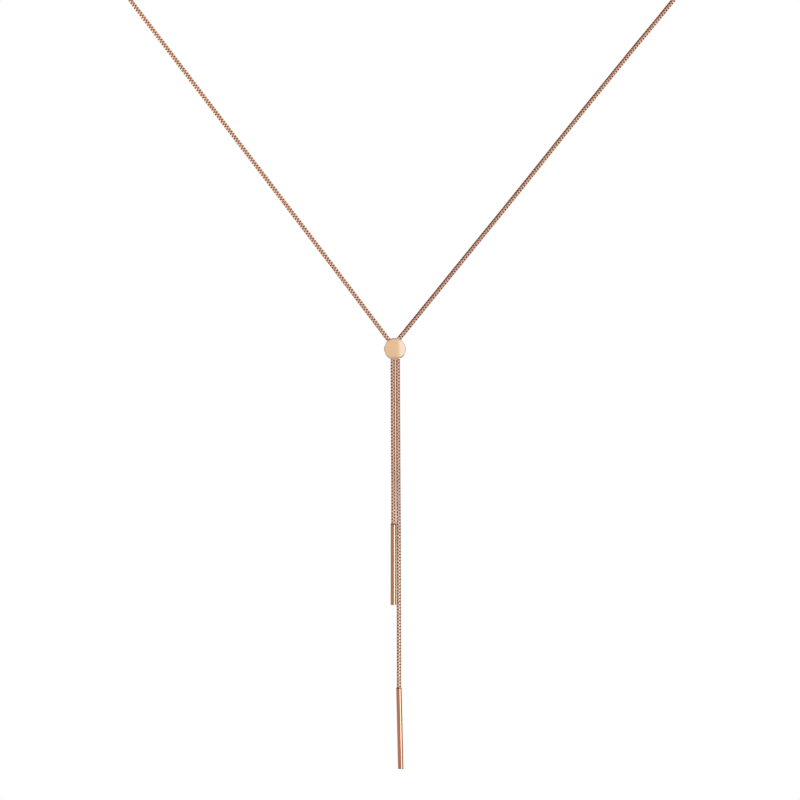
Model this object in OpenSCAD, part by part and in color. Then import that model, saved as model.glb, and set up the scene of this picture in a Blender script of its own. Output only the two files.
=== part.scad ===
// Y necklace: a fine box chain that runs round the neck and through a slider disc, with a drop bar on
// each end. Millimetres, +Z up, the wearer's front towards -Y. The origin is at the nape, on the inside
// of the chain.

/* [Chain] */
// Width of the chain between two opposite sides of its square section
chain_side = 0.94; // [0.8:0.02:1]
// Cut at each corner of that section, from the links' edges to the corner
chain_cut = 0.15; // [0.1:0.01:0.2]

/* [Slider] */
// Diameter of the slider disc
disc_d = 5.5; // [5.2:0.1:7]
// Thickness of the disc at the middle of its faces
disc_t = 2.4; // [1.8:0.1:4]
// Rise of each face of the disc, from its bevel to its middle
disc_crown = 0.1; // [0.05:0.05:0.2]
// Width of the bevel round each face of the disc
bevel_w = 0.3; // [0.2:0.05:0.6]
// Depth of that bevel
bevel_d = 0.12; // [0.1:0.02:0.3]

/* [Bars] */
// Length of each bar, from its flat foot to its top
bar_l = 20.4; // [12:0.1:40]
// Wall that is left on each side of the chain in a bar's mouth
bar_wall = 0.09; // [0.06:0.01:0.5]
// Radius of the rounding round the top of each bar
top_round = 0.25; // [0.2:0.01:0.4]
// Chamfer round the flat foot of each bar
foot_c = 0.1; // [0.05:0.01:0.2]
// Depth from the top of a bar to the end of the chain in its mouth
grip_l = 1.6; // [1.3:0.1:3]
// Lean of the long bar from the vertical, its foot towards +X
long_lean = 1.3; // [0:0.1:1.4]

/* [Fit] */
// Gap between the chain and the walls that it passes
chain_gap = 0.04; // [0.04:0.005:0.06]

/* [Hidden] */
$fn = 96;

// Middle of the slider disc
SLIDER_AT = [-1.5, -110, -130];

// Route of the chain's two halves, left and then right: from inside the bar's mouth up to the slider,
// through it, along the straight arm in front and round the side of the neck to the nape
CHAIN_ROUTE = [
    [
        [-1.9, -110, -175.2], [-1.9, -110, -165], [-1.95, -110, -155], [-2, -110, -144],
        [-2.05, -110, -134], [-2.05, -110, -129.6], [-2.15, -110, -129.1], [-2.4, -110, -128.6],
        [-3, -110, -127.8],
        [-3.8, -110, -126.8], [-17.1, -106, -109.2], [-30.4, -102, -91.7], [-43.8, -98, -74.1],
        [-57.1, -94, -56.6], [-70.4, -90, -39], [-75.5, -87, -31.5], [-78.5, -82.5, -25], [-80, -76, -19.5],
        [-80, -68.5, -15], [-78.5, -60.5, -11.5], [-75.5, -52, -9], [-71, -43.5, -7], [-65.5, -35.5, -5],
        [-59.5, -28, -3.5], [-52.5, -21, -2.5], [-44.5, -14.5, -1.5], [-36, -9, -1], [-27, -4.5, -0.5],
        [-17.5, -1.2, -0.2], [-8, 0.3, 0], [0, 0.3, 0]
    ],
    [
        [-0.5, -110, -216.2], [-0.5, -110, -206], [-0.55, -110, -190], [-0.6, -110, -173],
        [-0.65, -110, -165], [-0.7, -110, -155], [-0.75, -110, -145], [-0.8, -110, -134],
        [-0.8, -110, -128.4],
        [-0.7, -110, -127.9], [-0.4, -110, -127.3], [0, -110, -126.8], [1, -110, -125.6],
        [15, -106, -108.3], [29, -102, -91], [42.9, -98, -73.6], [56.9, -94, -56.3], [70.9, -90, -39],
        [75.5, -87, -31.5], [78.5, -82.5, -25], [80, -76, -19.5], [80, -68.5, -15], [78.5, -60.5, -11.5],
        [75.5, -52, -9], [71, -43.5, -7], [65.5, -35.5, -5], [59.5, -28, -3.5], [52.5, -21, -2.5],
        [44.5, -14.5, -1.5], [36, -9, -1], [27, -4.5, -0.5], [17.5, -1.2, -0.2], [8, 0.3, 0], [0, 0.3, 0]
    ]
];
LEFT = 0;
RIGHT = 1;

// Where the chain's edge stops facing straight forward, as a distance in front of the nape
face_turn = 90;

// Section of the tube that stands for the chain: a square with cut corners, turned so that a corner looks
// forward
chain_section = [
    for (quarter = [0 : 3], end = [-1, 1])
        let (turn = 90 * quarter + 45)
        let (out = chain_side / 2, along = end * (chain_side / 2 - chain_cut))
        [out * cos(turn) - along * sin(turn), out * sin(turn) + along * cos(turn)]
];

// Diameter of the opening that the chain passes through, in the slider and in each bar's mouth
pass_d = 2 * (norm(chain_section[0]) + chain_gap);

disc_r = disc_d / 2;
bar_r = pass_d / 2 + bar_wall;
// Extra length of a cut past the surface that it opens through
cut_over = 1;

function unit(v) = v / norm(v);

// Which way the chain's edge looks at a point: forward in front, outward beside the neck, back at the nape
function facing(p) =
    let (turn = 180 * min(max(1 + p.y / face_turn, 0), 1))
    [sign(p.x) * sin(turn), -cos(turn), 0];

// Direction of a route at its point i, halfway between the stretches before and after it
function heading(route, i) =
    let (last = len(route) - 1)
    let (before = i == 0 ? [0, 0, 0] : unit(route[i] - route[i - 1]))
    let (after = i == last ? [0, 0, 0] : unit(route[i + 1] - route[i]))
    unit(before + after);

// One ring of the tube, with the chain's section across the route
function ring(route, i) =
    let (run = heading(route, i))
    let (across = unit(cross(run, facing(route[i]))))
    let (out = cross(across, run))
    [for (corner = chain_section) route[i] + across * corner.x + out * corner.y];

// Closed tube along a route, one ring at each of its points
module tube(route) {
    rings = len(route);
    sides = len(chain_section);
    points = [for (i = [0 : rings - 1]) each ring(route, i)];
    start_cap = [for (k = [sides - 1 : -1 : 0]) k];
    end_cap = [for (k = [0 : sides - 1]) (rings - 1) * sides + k];
    walls = [
        for (i = [0 : rings - 2], k = [0 : sides - 1])
            let (near = i * sides, next = (k + 1) % sides)
            [near + k, near + next, near + sides + next, near + sides + k]
    ];
    polyhedron(points, concat([start_cap, end_cap], walls), convexity = 10);
}

// Flat outline, in x and z, of the way that a strand takes through the slider
module strand_way(route) {
    way = [for (p = route) if (abs(p.z - SLIDER_AT.z) < disc_d && p.y == SLIDER_AT.y) [p.x, p.z]];
    for (i = [0 : len(way) - 1])
        translate(way[i]) circle(d = pass_d);
    for (i = [0 : len(way) - 2])
        let (step = way[i + 1] - way[i])
        translate(way[i]) rotate(atan2(step.y, step.x))
            translate([0, -pass_d / 2]) square([norm(step), pass_d]);
}

// Half section of the disc: its rim, a bevel and a crowned face, on both sides
module disc_section() {
    face_r = disc_r - bevel_w;
    bevel_z = disc_t / 2 - disc_crown;
    rim_z = bevel_z - bevel_d;
    crown_arc = (face_r ^ 2 + disc_crown ^ 2) / (2 * disc_crown);
    intersection() {
        polygon([
            [0, -disc_t / 2], [face_r, -disc_t / 2], [face_r, -bevel_z], [disc_r, -rim_z],
            [disc_r, rim_z], [face_r, bevel_z], [face_r, disc_t / 2], [0, disc_t / 2]
        ]);
        translate([0, disc_t / 2 - crown_arc]) circle(crown_arc, $fn = 4 * $fn);
        translate([0, crown_arc - disc_t / 2]) circle(crown_arc, $fn = 4 * $fn);
    }
}

// Half section of a bar, the middle of its top at the origin
module bar_section() {
    rounding = [
        for (turn = [90 : -10 : 0])
            [bar_r - top_round, -top_round] + top_round * [cos(turn), sin(turn)]
    ];
    polygon([[0, 0], each rounding, [bar_r, foot_c - bar_l], [bar_r - foot_c, -bar_l], [0, -bar_l]]);
}

// Round hole in a bar's top that the end of the chain sits in
module mouth() {
    depth = grip_l + chain_gap;
    translate([0, 0, -depth]) cylinder(d = pass_d, h = depth + cut_over);
}

// Bar on the end of a strand, leaning about the middle of the chain's stretch in its mouth
module bar(route, lean) {
    translate(route[0] + [0, 0, grip_l / 2]) rotate([0, -lean, 0]) translate([0, 0, grip_l / 2])
        difference() {
            rotate_extrude() bar_section();
            mouth();
        }
}

module left_chain() {
    color([0.87, 0.67, 0.55]) tube(CHAIN_ROUTE[LEFT]);
}

module right_chain() {
    color([0.85, 0.64, 0.51]) tube(CHAIN_ROUTE[RIGHT]);
}

module slider() {
    color([0.91, 0.76, 0.6])
        difference() {
            translate(SLIDER_AT) rotate([90, 0, 0]) rotate_extrude() disc_section();
            translate([0, SLIDER_AT.y + pass_d / 2, 0]) rotate([90, 0, 0]) linear_extrude(pass_d) {
                strand_way(CHAIN_ROUTE[LEFT]);
                strand_way(CHAIN_ROUTE[RIGHT]);
            }
        }
}

module short_bar() {
    color([0.76, 0.5, 0.39]) bar(CHAIN_ROUTE[LEFT], 0);
}

module long_bar() {
    color([0.76, 0.5, 0.39]) bar(CHAIN_ROUTE[RIGHT], long_lean);
}

left_chain();
right_chain();
slider();
short_bar();
long_bar();
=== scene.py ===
"""Looks of a Y necklace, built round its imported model: interlocking box links, a polished slider disc and
two polished drop bars. Metres, +Z up, the wearer's front towards -Y."""

import bmesh
import bpy
import numpy as np
from mathutils import Matrix, Vector


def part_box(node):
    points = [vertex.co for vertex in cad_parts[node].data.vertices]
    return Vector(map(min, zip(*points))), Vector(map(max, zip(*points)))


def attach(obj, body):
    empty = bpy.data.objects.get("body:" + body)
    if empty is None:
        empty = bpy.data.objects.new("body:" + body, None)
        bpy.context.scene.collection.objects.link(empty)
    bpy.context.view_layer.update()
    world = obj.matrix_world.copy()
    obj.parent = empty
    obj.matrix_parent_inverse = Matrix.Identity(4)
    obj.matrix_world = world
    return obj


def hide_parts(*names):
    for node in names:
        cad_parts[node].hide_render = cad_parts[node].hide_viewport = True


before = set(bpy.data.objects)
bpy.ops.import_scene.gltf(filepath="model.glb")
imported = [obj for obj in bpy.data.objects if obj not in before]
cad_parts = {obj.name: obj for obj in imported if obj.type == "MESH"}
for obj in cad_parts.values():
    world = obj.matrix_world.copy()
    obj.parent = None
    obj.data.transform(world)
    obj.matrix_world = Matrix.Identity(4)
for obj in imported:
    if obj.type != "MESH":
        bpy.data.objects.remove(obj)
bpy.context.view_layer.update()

MM = 0.001
BODY = "root"

# Camera, straight in front of the disc's plane, with a long lens
CAMERA_AT = (-0.25 * MM, -2110 * MM, -142.75 * MM)
CAMERA_LENS = 360
CAMERA_SENSOR = 36
CAMERA_REACH = 100

# Chain: the width of its square section and the cut at its corners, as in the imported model, then its
# links, each a flat band bent into a rounded rectangle: the distance from one link to the next, the band's
# thickness, width and bevel, the play between two links, and the rounding inside and outside its bends
CHAIN_SIDE = 0.94 * MM
CHAIN_CUT = 0.15 * MM
LINK_PITCH = 0.3925 * MM
BAND_T = 0.07 * MM
BAND_W = 0.72 * MM
BAND_BEVEL = 0.06 * MM
LINK_PLAY = 0.02 * MM
INNER_R = 0.04 * MM
OUTER_R = 0.11 * MM
CORNER_STEPS = 4
LINK_TURNS = np.radians([45, 135])

# Fold from which an edge shows as sharp, on the links and on the disc and bars
LINK_SHARP = np.radians(60)
EDGE_SHARP = np.radians(28)
# Rounding of a profile's corners: its steps, and the most that it takes of the side next to it
BEND_STEPS = 6
BEND_SHARE = 0.45

# Fit of the chain in the disc and in the bars, and where its edge turns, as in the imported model
CHAIN_GAP = 0.04 * MM
GRIP_L = 1.6 * MM
FACE_TURN = 90 * MM
PASS_R = np.hypot(CHAIN_SIDE / 2, CHAIN_SIDE / 2 - CHAIN_CUT) + CHAIN_GAP

# Disc: rise of its faces, the bevel round them and the rounding of its edges
DISC_CROWN = 0.1 * MM
BEVEL_W = 0.3 * MM
BEVEL_D = 0.12 * MM
DISC_EDGE_R = 0.1 * MM
DISC_SIDES = 128
CROWN_STEPS = 16
WAY_STEPS = 40

# Bars: their length, the rounding of their tops and feet, the distance from these to the next ring of the
# straight wall, and the long one's lean
BAR_L = 20.4 * MM
TOP_ROUND = 0.25 * MM
TOP_STEPS = 10
FOOT_R = 0.12 * MM
WALL_STEP = 0.1 * MM
LONG_LEAN = np.radians(1.3)
BAR_SIDES = 72

# Route of the chain's two halves in millimetres, left and then right: from inside the bar's mouth up to
# the disc, through it, along the straight arm in front and round the side of the neck to the nape
CHAIN_ROUTE = [
    [
        (-1.9, -110, -175.2), (-1.9, -110, -165), (-1.95, -110, -155), (-2, -110, -144),
        (-2.05, -110, -134), (-2.05, -110, -129.6), (-2.15, -110, -129.1), (-2.4, -110, -128.6),
        (-3, -110, -127.8), (-3.8, -110, -126.8), (-17.1, -106, -109.2), (-30.4, -102, -91.7),
        (-43.8, -98, -74.1), (-57.1, -94, -56.6), (-70.4, -90, -39), (-75.5, -87, -31.5),
        (-78.5, -82.5, -25), (-80, -76, -19.5),
        (-80, -68.5, -15), (-78.5, -60.5, -11.5), (-75.5, -52, -9), (-71, -43.5, -7), (-65.5, -35.5, -5),
        (-59.5, -28, -3.5), (-52.5, -21, -2.5), (-44.5, -14.5, -1.5), (-36, -9, -1), (-27, -4.5, -0.5),
        (-17.5, -1.2, -0.2), (-8, 0.3, 0), (0, 0.3, 0),
    ],
    [
        (-0.5, -110, -216.2), (-0.5, -110, -206), (-0.55, -110, -190), (-0.6, -110, -173),
        (-0.65, -110, -165), (-0.7, -110, -155), (-0.75, -110, -145), (-0.8, -110, -134),
        (-0.8, -110, -128.4), (-0.7, -110, -127.9), (-0.4, -110, -127.3), (0, -110, -126.8),
        (1, -110, -125.6), (15, -106, -108.3), (29, -102, -91), (42.9, -98, -73.6), (56.9, -94, -56.3),
        (70.9, -90, -39), (75.5, -87, -31.5), (78.5, -82.5, -25), (80, -76, -19.5), (80, -68.5, -15),
        (78.5, -60.5, -11.5), (75.5, -52, -9), (71, -43.5, -7), (65.5, -35.5, -5), (59.5, -28, -3.5),
        (52.5, -21, -2.5), (44.5, -14.5, -1.5), (36, -9, -1), (27, -4.5, -0.5), (17.5, -1.2, -0.2),
        (8, 0.3, 0), (0, 0.3, 0),
    ],
]
ROUTE_STEP = 0.1 * MM

# Finishes: base colours in linear light, among them the painted shade on the links' inner sides and the
# painted dark reflection on the bars' rims, and the roughness of each metal at its most and least polished
CHAIN_COLOUR = (0.88, 0.56, 0.40)
# Painted shade in the links' recesses and holes
PAINTED_RECESS_SHADE = (0.33, 0.18, 0.11)
# Painted light: the disc's colour is the chain's rose gold made lighter and yellower, for its brighter
# reflections
DISC_COLOUR = (0.92, 0.74, 0.55)
# Painted shade: the bars' colour is the same rose gold made darker and redder, for their darker reflections
BAR_COLOUR = (0.70, 0.36, 0.245)
# Painted dark reflection round the tops of the bars
PAINTED_RIM_REFLECTION = (0.13, 0.04, 0.02)
CHAIN_ROUGH = (0.26, 0.32)
DISC_ROUGH = (0.06, 0.09)
BAR_ROUGH = (0.04, 0.06)
# How much of the painted recess shade each point of a link's section takes, first the two inside the link
INNER_SHADE = [1, 1, 0.2, 0, 0, 0.2]
# Polishing marks: how many there are to a metre, how they run along the bars, and their depth on the chain
CHAIN_GRAIN = 2500
SMOOTH_GRAIN = 1500
BAR_STRETCH = (1, 1, 0.05)
MARK_DEPTH = 0.02 * MM
# Clouds in the tone of a metal: their size against the marks and the share of the colour that they keep
CLOUD_SIZE = 12
CLOUD_TONE = 0.94

# Studio seen by reflections: its light by angle round the horizon, 0 towards the camera and plus to the
# right, first near eye level and then above and below, how the latter changes with height, and the slopes
# between which one gives way to the other
AROUND = [(-180, (0.75, 0.7, 0.66)), (-105, (0.56, 0.49, 0.46)), (-60, (0.62, 0.49, 0.44)),
          (24, (0.63, 0.5, 0.44)), (30, (0.85, 0.85, 0.9)), (54, (0.85, 0.85, 0.9)), (62, (0.5, 0.51, 0.46)),
          (110, (0.5, 0.51, 0.46)), (180, (0.75, 0.7, 0.66))]
ABOVE = [(-180, 2), (-75, 2.4), (-55, 2.4), (-45, (0.66, 0.58, 0.53)), (10, (0.66, 0.58, 0.53)),
         (25, (0.85, 0.87, 0.92)), (48, (0.85, 0.87, 0.92)), (58, 2.2), (75, 1.4), (100, 1.2), (180, 1.8)]
RISE = [(-1, 1), (0.3, 1), (0.6, 0.85), (1, 0.6)]
BAND = (0.17, 0.3)
PEAK = 3
# Dark corner of the studio, above and behind on the left, the cosines of the angles from it between which
# it fades out, and its light
DARK_AT = (-0.45, 0.3, 0.84)
DARK_FADE = (0.6, 0.8)
DARK_LEVEL = (0.05, 0.01, 0.0)

# Panels near the camera's line, seen by the disc: where each starts in x and its light, and where the
# last one ends
PANEL_Y = -310 * MM
PANEL_Z = (-158 * MM, -40 * MM)
PANELS = [(-110, (0.25, 0.22, 0.15)), (7, (0.29, 0.27, 0.21)), (11, (0.34, 0.38, 0.375)),
          (15, (0.41, 0.51, 0.56)), (19, (0.41, 0.6, 0.75))]
PANEL_END = 110
# Narrow light in front of the bars on the right: its distance and angle from them, its size and level
STRIP_AT = (45 * MM, np.radians(42))
STRIP_SIZE = (12.5 * MM, 66 * MM)
STRIP_Z = -207.3 * MM
STRIP_LEVEL = 5.4

# Floor below the hanging necklace, kept out of the front view, and the shares of its radius between which
# it fades out
FLOOR_Z = -300 * MM
FLOOR_R = 700 * MM
FLOOR_SIDES = 96
FLOOR_FADE = (0.5, 0.98)


def unit(rows):
    return rows / np.linalg.norm(rows, axis=-1, keepdims=True)


def facing(points):
    """Which way the chain's edge looks: forward in front, outward beside the neck, back at the nape."""
    turn = np.pi * np.clip(1 + points[:, 1] / FACE_TURN, 0, 1)
    return np.stack([np.sign(points[:, 0]) * np.sin(turn), -np.cos(turn), 0 * turn], 1)


class Path:
    """A smooth curve through a route's points, with the chain's frame at each length along it."""

    def __init__(self, points):
        knots = np.concatenate([[0], np.cumsum(np.linalg.norm(np.diff(points, axis=0), axis=1))])
        slopes = np.empty_like(points)
        slopes[1:-1] = (points[2:] - points[:-2]) / (knots[2:] - knots[:-2])[:, None]
        slopes[0] = (points[1] - points[0]) / (knots[1] - knots[0])
        slopes[-1] = (points[-1] - points[-2]) / (knots[-1] - knots[-2])
        at = np.linspace(0, knots[-1], int(knots[-1] / ROUTE_STEP) + 1)
        low = np.clip(np.searchsorted(knots, at, side="right") - 1, 0, len(knots) - 2)
        span = (knots[low + 1] - knots[low])[:, None]
        t = (at - knots[low])[:, None] / span
        self.points = (
            (2 * t**3 - 3 * t**2 + 1) * points[low]
            + (t**3 - 2 * t**2 + t) * span * slopes[low]
            + (3 * t**2 - 2 * t**3) * points[low + 1]
            + (t**3 - t**2) * span * slopes[low + 1]
        )
        runs = unit(np.gradient(self.points, axis=0))
        self.across = unit(np.cross(runs, facing(self.points)))
        self.out = np.cross(self.across, runs)
        steps = np.linalg.norm(np.diff(self.points, axis=0), axis=1)
        self.lengths = np.concatenate([[0], np.cumsum(steps)])

    def place(self, local, start=0):
        """Points given as (along, across, out), laid on the curve from a length along it."""
        at = start + local[:, 0]
        spot, across, out = (
            np.stack([np.interp(at, self.lengths, rows[:, axis]) for axis in range(3)], 1)
            for rows in (self.points, self.across, self.out)
        )
        return spot + local[:, 1:2] * across + local[:, 2:3] * out

    def length_at(self, point):
        """Length along the curve of the spot nearest to a point."""
        return self.lengths[np.argmin(np.linalg.norm(self.points - point, axis=1))]

    def stretches_near(self, point, reach):
        """Start and end lengths of each stretch of the curve that lies within reach of a point."""
        near = np.flatnonzero(np.linalg.norm(self.points - point, axis=1) < reach)
        runs = np.split(near, np.flatnonzero(np.diff(near) > 1) + 1)
        return [(self.lengths[run[0]], self.lengths[run[-1]]) for run in runs]


def new_piece(name, points, faces):
    """A mesh object with its faces turned outward."""
    mesh = bpy.data.meshes.new(name)
    mesh.from_pydata(np.asarray(points).tolist(), [], faces)
    shape = bmesh.new()
    shape.from_mesh(mesh)
    bmesh.ops.recalc_face_normals(shape, faces=shape.faces)
    shape.to_mesh(mesh)
    shape.free()
    piece = bpy.data.objects.new(name, mesh)
    bpy.context.collection.objects.link(piece)
    return piece


def ring_faces(rings, sides, closed):
    """Quads between rings of points, with the last ring joined to the first when closed."""
    return [
        (
            i * sides + k,
            i * sides + (k + 1) % sides,
            (i + 1) % rings * sides + (k + 1) % sides,
            (i + 1) % rings * sides + k,
        )
        for i in range(rings if closed else rings - 1)
        for k in range(sides)
    ]


def capped_piece(name, rings):
    """A closed solid through rings of points, with a flat cap on each end."""
    sides = len(rings[0])
    last = (len(rings) - 1) * sides
    faces = ring_faces(len(rings), sides, closed=False)
    faces.append(tuple(range(sides)))
    faces.append(tuple(range(last, last + sides)))
    return new_piece(name, np.concatenate(rings), faces)


def rounded(profile, radius):
    """A profile with each inner corner turned into a smooth bend, tangent to both of its sides."""
    points = [np.array(point, float) for point in profile]
    result = [points[0]]
    for before, corner, after in zip(points, points[1:], points[2:]):
        back = unit(before - corner)
        ahead = unit(after - corner)
        half = np.arccos(np.clip(back @ ahead, -1, 1)) / 2
        room = BEND_SHARE * min(np.linalg.norm(before - corner), np.linalg.norm(after - corner))
        reach = min(radius / np.tan(half), room)
        for t in np.linspace(0, 1, BEND_STEPS + 1):
            weights = ((1 - t) ** 2, 2 * t * (1 - t), t**2)
            bend = (corner + back * reach, corner, corner + ahead * reach)
            result.append(sum(weight * point for weight, point in zip(weights, bend)))
    return result + [points[-1]]


def lathe(name, profile, sides):
    """A closed solid turned about Z from (radius, height) points that start and end on the axis."""
    turn = 2 * np.pi * np.arange(sides) / sides
    inner = profile[1:-1]
    points = [(r * np.cos(a), r * np.sin(a), z) for r, z in inner for a in turn]
    points += [(0, 0, profile[0][1]), (0, 0, profile[-1][1])]
    last = (len(inner) - 1) * sides
    faces = ring_faces(len(inner), sides, closed=False)
    for k in range(sides):
        faces.append((len(points) - 2, k, (k + 1) % sides))
        faces.append((len(points) - 1, last + k, last + (k + 1) % sides))
    return new_piece(name, points, faces)


def cut(piece, cutters):
    """Takes each cutter's volume out of a piece and removes the cutter."""
    for cutter in cutters:
        modifier = piece.modifiers.new("cut", "BOOLEAN")
        modifier.operation = "DIFFERENCE"
        modifier.solver = "EXACT"
        modifier.object = cutter
        shaped = piece.evaluated_get(bpy.context.evaluated_depsgraph_get())
        mesh = bpy.data.meshes.new_from_object(shaped)
        piece.modifiers.clear()
        piece.data = mesh
        bpy.data.objects.remove(cutter)


def sharpen(piece, angle):
    """Smooth shading, apart from edges that fold by an angle or more."""
    shape = bmesh.new()
    shape.from_mesh(piece.data)
    for face in shape.faces:
        face.smooth = True
    for edge in shape.edges:
        edge.smooth = edge.calc_face_angle(0) < angle
    shape.to_mesh(piece.data)
    shape.free()


def rounded_box(half_l, half_w, radius):
    """Outline of a rectangle with round corners, the same number of points to each corner."""
    turn = np.radians(np.linspace(0, 90, CORNER_STEPS) + 90 * np.arange(4)[:, None]).ravel()
    middle = np.array([(1, 1), (-1, 1), (-1, -1), (1, -1)]) * (half_l - radius, half_w - radius)
    return np.repeat(middle, CORNER_STEPS, axis=0) + radius * np.stack([np.cos(turn), np.sin(turn)], 1)


def link_template():
    """One box link along X, its opening towards Z: rings of points round its band, first the two inside."""
    half_l = (LINK_PITCH + LINK_PLAY) / 2
    half_w = CHAIN_SIDE / 2 - BAND_T
    inside = rounded_box(half_l, half_w, INNER_R)
    outside = rounded_box(half_l + BAND_T, half_w + BAND_T, OUTER_R)
    bevel = BAND_BEVEL / BAND_T
    section = [(0, -BAND_W / 2), (0, BAND_W / 2), (1 - bevel, BAND_W / 2), (1, BAND_W / 2 - BAND_BEVEL),
               (1, BAND_BEVEL - BAND_W / 2), (1 - bevel, -BAND_W / 2)]
    flat = np.stack([inside + depth * (outside - inside) for depth, _ in section], 1)
    height = np.tile([z for _, z in section], (len(inside), 1))
    return np.concatenate([flat, height[:, :, None]], 2)


def make_chain(name, path, middles, first):
    """Links along a path, all in one mesh, each with its middle at one of the given lengths."""
    template = link_template()
    steps, sides = template.shape[:2]
    along, y, z = template.reshape(-1, 3).T
    turned = [
        np.stack([along, y * np.cos(turn) - z * np.sin(turn), y * np.sin(turn) + z * np.cos(turn)], 1)
        for turn in LINK_TURNS
    ]
    one = ring_faces(steps, sides, closed=True)
    points = np.concatenate([
        path.place(turned[(first + i) % len(turned)], middle) for i, middle in enumerate(middles)])
    faces = [tuple(index + i * len(along) for index in face) for i in range(len(middles)) for face in one]
    piece = new_piece(name, points, faces)
    sharpen(piece, LINK_SHARP)
    # Painted shade: how much of the dark recess colour each point of the links takes
    inner = np.tile(INNER_SHADE, steps * len(middles))
    piece.data.attributes.new("inner", "FLOAT", "POINT").data.foreach_set("value", inner)
    return piece


def make_disc(path):
    """Crowned disc with a bevel round each face, turned about Y and cut through for both strands."""
    low, high = (np.array(corner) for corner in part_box("slider"))
    middle = (low + high) / 2
    radius = (high[0] - low[0]) / 2
    half_t = (high[1] - low[1]) / 2
    face_r = radius - BEVEL_W
    bevel_z = half_t - DISC_CROWN
    arc = (face_r**2 + DISC_CROWN**2) / (2 * DISC_CROWN)
    crown = [(r, half_t - arc + np.sqrt(arc**2 - r**2)) for r in np.linspace(0, face_r, CROWN_STEPS)]
    rim = rounded([crown[-2], crown[-1], (radius, bevel_z - BEVEL_D), (radius, 0)], DISC_EDGE_R)
    upper = crown[:-2] + rim
    lower = [(r, -z) for r, z in reversed(upper[:-1])]
    disc = lathe("slider_disc", upper + lower, DISC_SIDES)
    disc.data.transform(Matrix.Translation(middle) @ Matrix.Rotation(np.pi / 2, 4, "X"))
    section = PASS_R * np.array([(-1, -1), (1, -1), (1, 1), (-1, 1)])
    ways = []
    for start, end in path.stretches_near(middle, 2 * radius):
        at = np.linspace(start, end, WAY_STEPS)
        ways.append(capped_piece("way", [path.place(np.column_stack([[s] * 4, section])) for s in at]))
    cut(disc, ways)
    sharpen(disc, EDGE_SHARP)
    return disc


def make_bar(name, route, lean):
    """Round bar on the end of a strand: a hole for the chain in its rounded top, a flat foot, small edges."""
    low, high = (np.array(corner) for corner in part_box("short_bar"))
    radius = (high[0] - low[0]) / 2
    turn = np.linspace(0, np.pi / 2, TOP_STEPS)
    top = [(radius - TOP_ROUND + TOP_ROUND * np.cos(a), TOP_ROUND * (np.sin(a) - 1)) for a in turn]
    foot = rounded([(0, -BAR_L), (radius, -BAR_L), (radius, -BAR_L / 2)], FOOT_R)
    straight = [(radius, FOOT_R - BAR_L + WALL_STEP), (radius, -TOP_ROUND - WALL_STEP)]
    bar = lathe(name, foot[:-1] + straight + top + [(0, 0)], BAR_SIDES)
    depth = GRIP_L + CHAIN_GAP
    cut(bar, [lathe("mouth", [(0, -depth), (PASS_R, -depth), (PASS_R, depth), (0, depth)], BAR_SIDES)])
    sharpen(bar, EDGE_SHARP)
    # Painted dark reflection: the ring round each bar's top takes the dark rim colour
    rim = [float(point.co.z > -TOP_ROUND - WALL_STEP / 2) for point in bar.data.vertices]
    bar.data.attributes.new("inner", "FLOAT", "POINT").data.foreach_set("value", rim)
    pivot = Matrix.Translation(Vector(route[0]) * MM + Vector((0, 0, GRIP_L / 2)))
    raised = Matrix.Translation((0, 0, GRIP_L / 2))
    bar.data.transform(pivot @ Matrix.Rotation(-lean, 4, "Y") @ raised)
    return bar


def add_node(tree, kind, links=None, **settings):
    """A shader node with its settings and its inputs, which are values or other nodes' sockets."""
    made = tree.nodes.new(kind)
    for key, value in settings.items():
        setattr(made, key, value)
    for key, value in (links or {}).items():
        if isinstance(value, bpy.types.NodeSocket):
            tree.links.new(value, made.inputs[key])
        else:
            made.inputs[key].default_value = value
    return made


def ramp_node(tree, factor, stops):
    """A colour ramp from (position, colour) stops."""
    made = add_node(tree, "ShaderNodeValToRGB", {0: factor})
    elements = made.color_ramp.elements
    while len(elements) < len(stops):
        elements.new(0.5)
    for element, (position, colour) in zip(elements, stops):
        element.position = position
        element.color = (*colour, 1) if isinstance(colour, tuple) else (colour, colour, colour, 1)
    return made.outputs["Color"]


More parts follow.
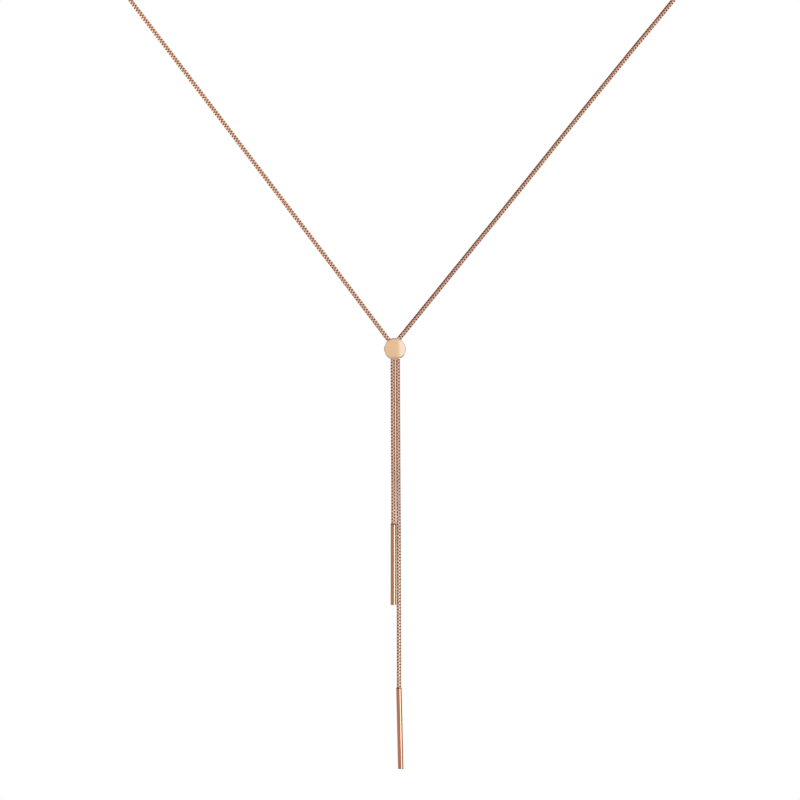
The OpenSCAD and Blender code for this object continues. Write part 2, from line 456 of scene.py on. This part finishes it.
def metal(name, colour, polish, grain, stretch=(1, 1, 1), depth=0, painted_dark_colour=None):
    """Polished plated metal: its gloss and tone vary softly, with fine polishing marks. With a painted dark
    colour, what the piece marks as inner takes it: painted shade in recesses, a painted dark reflection on
    rims."""
    material = bpy.data.materials.new(name)
    material.use_nodes = True
    tree = material.node_tree
    tree.nodes.clear()
    place = add_node(tree, "ShaderNodeTexCoord").outputs["Object"]
    scaled = add_node(tree, "ShaderNodeMapping", {"Vector": place, "Scale": stretch}).outputs[0]
    marks = add_node(tree, "ShaderNodeTexNoise", {
        "Vector": scaled, "Scale": grain, "Detail": 4}).outputs["Fac"]
    cloud = add_node(tree, "ShaderNodeTexNoise", {
        "Vector": place, "Scale": grain / CLOUD_SIZE}).outputs["Fac"]
    rough = add_node(tree, "ShaderNodeMapRange", {
        "Value": marks, "From Min": 0.3, "From Max": 0.7,
        "To Min": polish[0], "To Max": polish[1]}).outputs[0]
    darker = tuple(CLOUD_TONE * value for value in colour)
    tone = ramp_node(tree, cloud, [(0.35, darker), (0.65, colour)])
    # Painted shade on the links and painted dark reflection on the bars' rims: points marked inner take the
    # dark colour
    if painted_dark_colour:
        inner = add_node(tree, "ShaderNodeAttribute", attribute_name="inner").outputs["Fac"]
        tone = add_node(tree, "ShaderNodeMixRGB", {
            "Fac": inner, "Color1": tone, "Color2": (*painted_dark_colour, 1)}).outputs[0]
    surface = {"Base Color": tone, "Metallic": 1, "Roughness": rough}
    if depth:
        surface["Normal"] = add_node(tree, "ShaderNodeBump", {
            "Strength": 1, "Distance": depth, "Height": marks}).outputs[0]
    shader = add_node(tree, "ShaderNodeBsdfPrincipled", surface).outputs[0]
    add_node(tree, "ShaderNodeOutputMaterial", {"Surface": shader})
    return material


def dimmed(level):
    """A light level or colour as a share of the studio's peak."""
    return tuple(value / PEAK for value in level) if isinstance(level, tuple) else level / PEAK


def studio_world():
    """Soft studio round the necklace, seen by its reflections, on a white ground for the camera."""
    world = bpy.data.worlds.new("studio")
    world.use_nodes = True
    bpy.context.scene.world = world
    tree = world.node_tree
    tree.nodes.clear()
    ray = add_node(tree, "ShaderNodeTexCoord").outputs["Generated"]
    axes = add_node(tree, "ShaderNodeSeparateXYZ", {0: ray}).outputs
    ahead = add_node(tree, "ShaderNodeMath", {0: axes["Y"], 1: -1}, operation="MULTIPLY").outputs[0]
    azimuth = add_node(tree, "ShaderNodeMath", {0: axes["X"], 1: ahead}, operation="ARCTAN2").outputs[0]
    around = add_node(tree, "ShaderNodeMapRange", {
        "Value": azimuth, "From Min": -np.pi, "From Max": np.pi}).outputs[0]
    height = add_node(tree, "ShaderNodeMapRange", {"Value": axes["Z"], "From Min": -1}).outputs[0]
    side = ramp_node(tree, around, [(angle / 360 + 0.5, dimmed(level)) for angle, level in AROUND])
    above = ramp_node(tree, around, [(angle / 360 + 0.5, dimmed(level)) for angle, level in ABOVE])
    rise = ramp_node(tree, height, [(z / 2 + 0.5, level) for z, level in RISE])
    risen = add_node(tree, "ShaderNodeMixRGB", {
        "Fac": 1, "Color1": above, "Color2": rise}, blend_type="MULTIPLY").outputs[0]
    slope = add_node(tree, "ShaderNodeMath", {0: axes["Z"]}, operation="ABSOLUTE").outputs[0]
    blend = add_node(tree, "ShaderNodeMapRange", {
        "Value": slope, "From Min": BAND[0], "From Max": BAND[1]}).outputs[0]
    open_part = add_node(tree, "ShaderNodeMixRGB", {"Fac": blend, "Color1": side, "Color2": risen}).outputs[0]
    towards = add_node(tree, "ShaderNodeVectorMath", {0: ray, 1: DARK_AT}, operation="DOT_PRODUCT")
    dark = add_node(tree, "ShaderNodeMapRange", {
        "Value": towards.outputs["Value"], "From Min": DARK_FADE[0], "From Max": DARK_FADE[1]}).outputs[0]
    studio = add_node(tree, "ShaderNodeMixRGB", {
        "Fac": dark, "Color1": open_part, "Color2": (*DARK_LEVEL, 1)}).outputs[0]
    reflected = add_node(tree, "ShaderNodeBackground", {"Color": studio, "Strength": PEAK}).outputs[0]
    ground = add_node(tree, "ShaderNodeBackground", {"Color": (1, 1, 1, 1), "Strength": 1}).outputs[0]
    seen = add_node(tree, "ShaderNodeLightPath").outputs["Is Camera Ray"]
    both = add_node(tree, "ShaderNodeMixShader", {0: seen, 1: reflected, 2: ground}).outputs[0]
    add_node(tree, "ShaderNodeOutputWorld", {"Surface": both})


def panel(name, middle, size, colour, level=1, turn=0):
    """A soft upright light, turned from shining towards +Y, that the camera doesn't see."""
    light = bpy.data.lights.new(name, "AREA")
    light.shape = "RECTANGLE"
    light.size, light.size_y = size
    light.energy = np.pi * level * light.size * light.size_y
    light.color = colour
    lamp = bpy.data.objects.new(name, light)
    lamp.location = middle
    lamp.rotation_euler = (np.pi / 2, 0, turn)
    lamp.visible_camera = False
    bpy.context.collection.objects.link(lamp)


def front_panels():
    """The panels in front, side by side, and the narrow light in front of the bars."""
    starts = [start for start, _ in PANELS] + [PANEL_END]
    for i, (start, colour) in enumerate(PANELS):
        middle = ((start + starts[i + 1]) / 2 * MM, PANEL_Y, sum(PANEL_Z) / 2)
        size = ((starts[i + 1] - start) * MM, PANEL_Z[1] - PANEL_Z[0])
        panel(f"panel_{i}", middle, size, colour)
    away, turn = STRIP_AT
    foot = np.array(CHAIN_ROUTE[0][0]) * MM
    middle = (foot[0] + away * np.sin(turn), foot[1] - away * np.cos(turn), STRIP_Z)
    panel("strip", middle, STRIP_SIZE, (1, 1, 1), STRIP_LEVEL, turn)


def make_camera():
    """Camera at the photo's angle, level and straight in front."""
    camera = bpy.data.objects.new("camera", bpy.data.cameras.new("camera"))
    camera.data.lens = CAMERA_LENS
    camera.data.sensor_width = CAMERA_SENSOR
    camera.data.clip_end = CAMERA_REACH
    camera.location = CAMERA_AT
    camera.rotation_euler = (np.pi / 2, 0, 0)
    bpy.context.collection.objects.link(camera)
    bpy.context.scene.camera = camera


def make_floor():
    """Pale round floor that fades out before its edge."""
    turn = 2 * np.pi * np.arange(FLOOR_SIDES) / FLOOR_SIDES
    rim = [(FLOOR_R * np.cos(a), FLOOR_R * np.sin(a), FLOOR_Z) for a in turn]
    mesh = bpy.data.meshes.new("floor")
    mesh.from_pydata(rim, [], [tuple(range(FLOOR_SIDES))])
    floor = bpy.data.objects.new("floor", mesh)
    bpy.context.collection.objects.link(floor)
    material = bpy.data.materials.new("floor_paper")
    material.use_nodes = True
    tree = material.node_tree
    tree.nodes.clear()
    place = add_node(tree, "ShaderNodeTexCoord").outputs["Object"]
    flat = add_node(tree, "ShaderNodeVectorMath", {0: place, 1: (1, 1, 0)}, operation="MULTIPLY").outputs[0]
    reach = add_node(tree, "ShaderNodeVectorMath", {0: flat}, operation="LENGTH").outputs["Value"]
    fade = add_node(tree, "ShaderNodeMapRange", {
        "Value": reach, "From Min": FLOOR_FADE[0] * FLOOR_R, "From Max": FLOOR_FADE[1] * FLOOR_R}).outputs[0]
    paper = add_node(tree, "ShaderNodeBsdfPrincipled", {
        "Base Color": (0.9, 0.9, 0.89, 1), "Roughness": 0.8}).outputs[0]
    clear = add_node(tree, "ShaderNodeBsdfTransparent").outputs[0]
    both = add_node(tree, "ShaderNodeMixShader", {0: fade, 1: paper, 2: clear}).outputs[0]
    add_node(tree, "ShaderNodeOutputMaterial", {"Surface": both})
    floor.data.materials.append(material)


def dress(piece, material, node):
    """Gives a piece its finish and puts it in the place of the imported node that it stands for."""
    piece.data.materials.clear()
    piece.data.materials.append(material)
    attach(piece, BODY)
    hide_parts(node)


make_camera()
studio_world()
front_panels()
bpy.context.scene.view_settings.view_transform = "Standard"

left_route, right_route = (np.array(route, float) * MM for route in CHAIN_ROUTE)
chain = Path(np.concatenate([left_route, right_route[-2::-1]]))
nape = chain.length_at(left_route[-1])
end_reach = (LINK_PITCH + LINK_PLAY) / 2 + BAND_T
link_count = round((chain.lengths[-1] - 2 * end_reach) / LINK_PITCH) + 1
middles = np.linspace(end_reach, chain.lengths[-1] - end_reach, link_count)
left_middles = middles[middles < nape]
right_middles = middles[middles >= nape]

chain_metal = metal("chain_metal", CHAIN_COLOUR, CHAIN_ROUGH, CHAIN_GRAIN, depth=MARK_DEPTH,
                    painted_dark_colour=PAINTED_RECESS_SHADE)
disc_metal = metal("disc_metal", DISC_COLOUR, DISC_ROUGH, SMOOTH_GRAIN)
bar_metal = metal("bar_metal", BAR_COLOUR, BAR_ROUGH, SMOOTH_GRAIN, BAR_STRETCH, painted_dark_colour=PAINTED_RIM_REFLECTION)

left_links = make_chain("left_links", chain, left_middles, 0)
right_links = make_chain("right_links", chain, right_middles, len(left_middles))
dress(left_links, chain_metal, "left_chain")
dress(right_links, chain_metal, "right_chain")
dress(make_disc(chain), disc_metal, "slider")
dress(make_bar("short_drop", CHAIN_ROUTE[0], 0), bar_metal, "short_bar")
dress(make_bar("long_drop", CHAIN_ROUTE[1], LONG_LEAN), bar_metal, "long_bar")

make_floor()
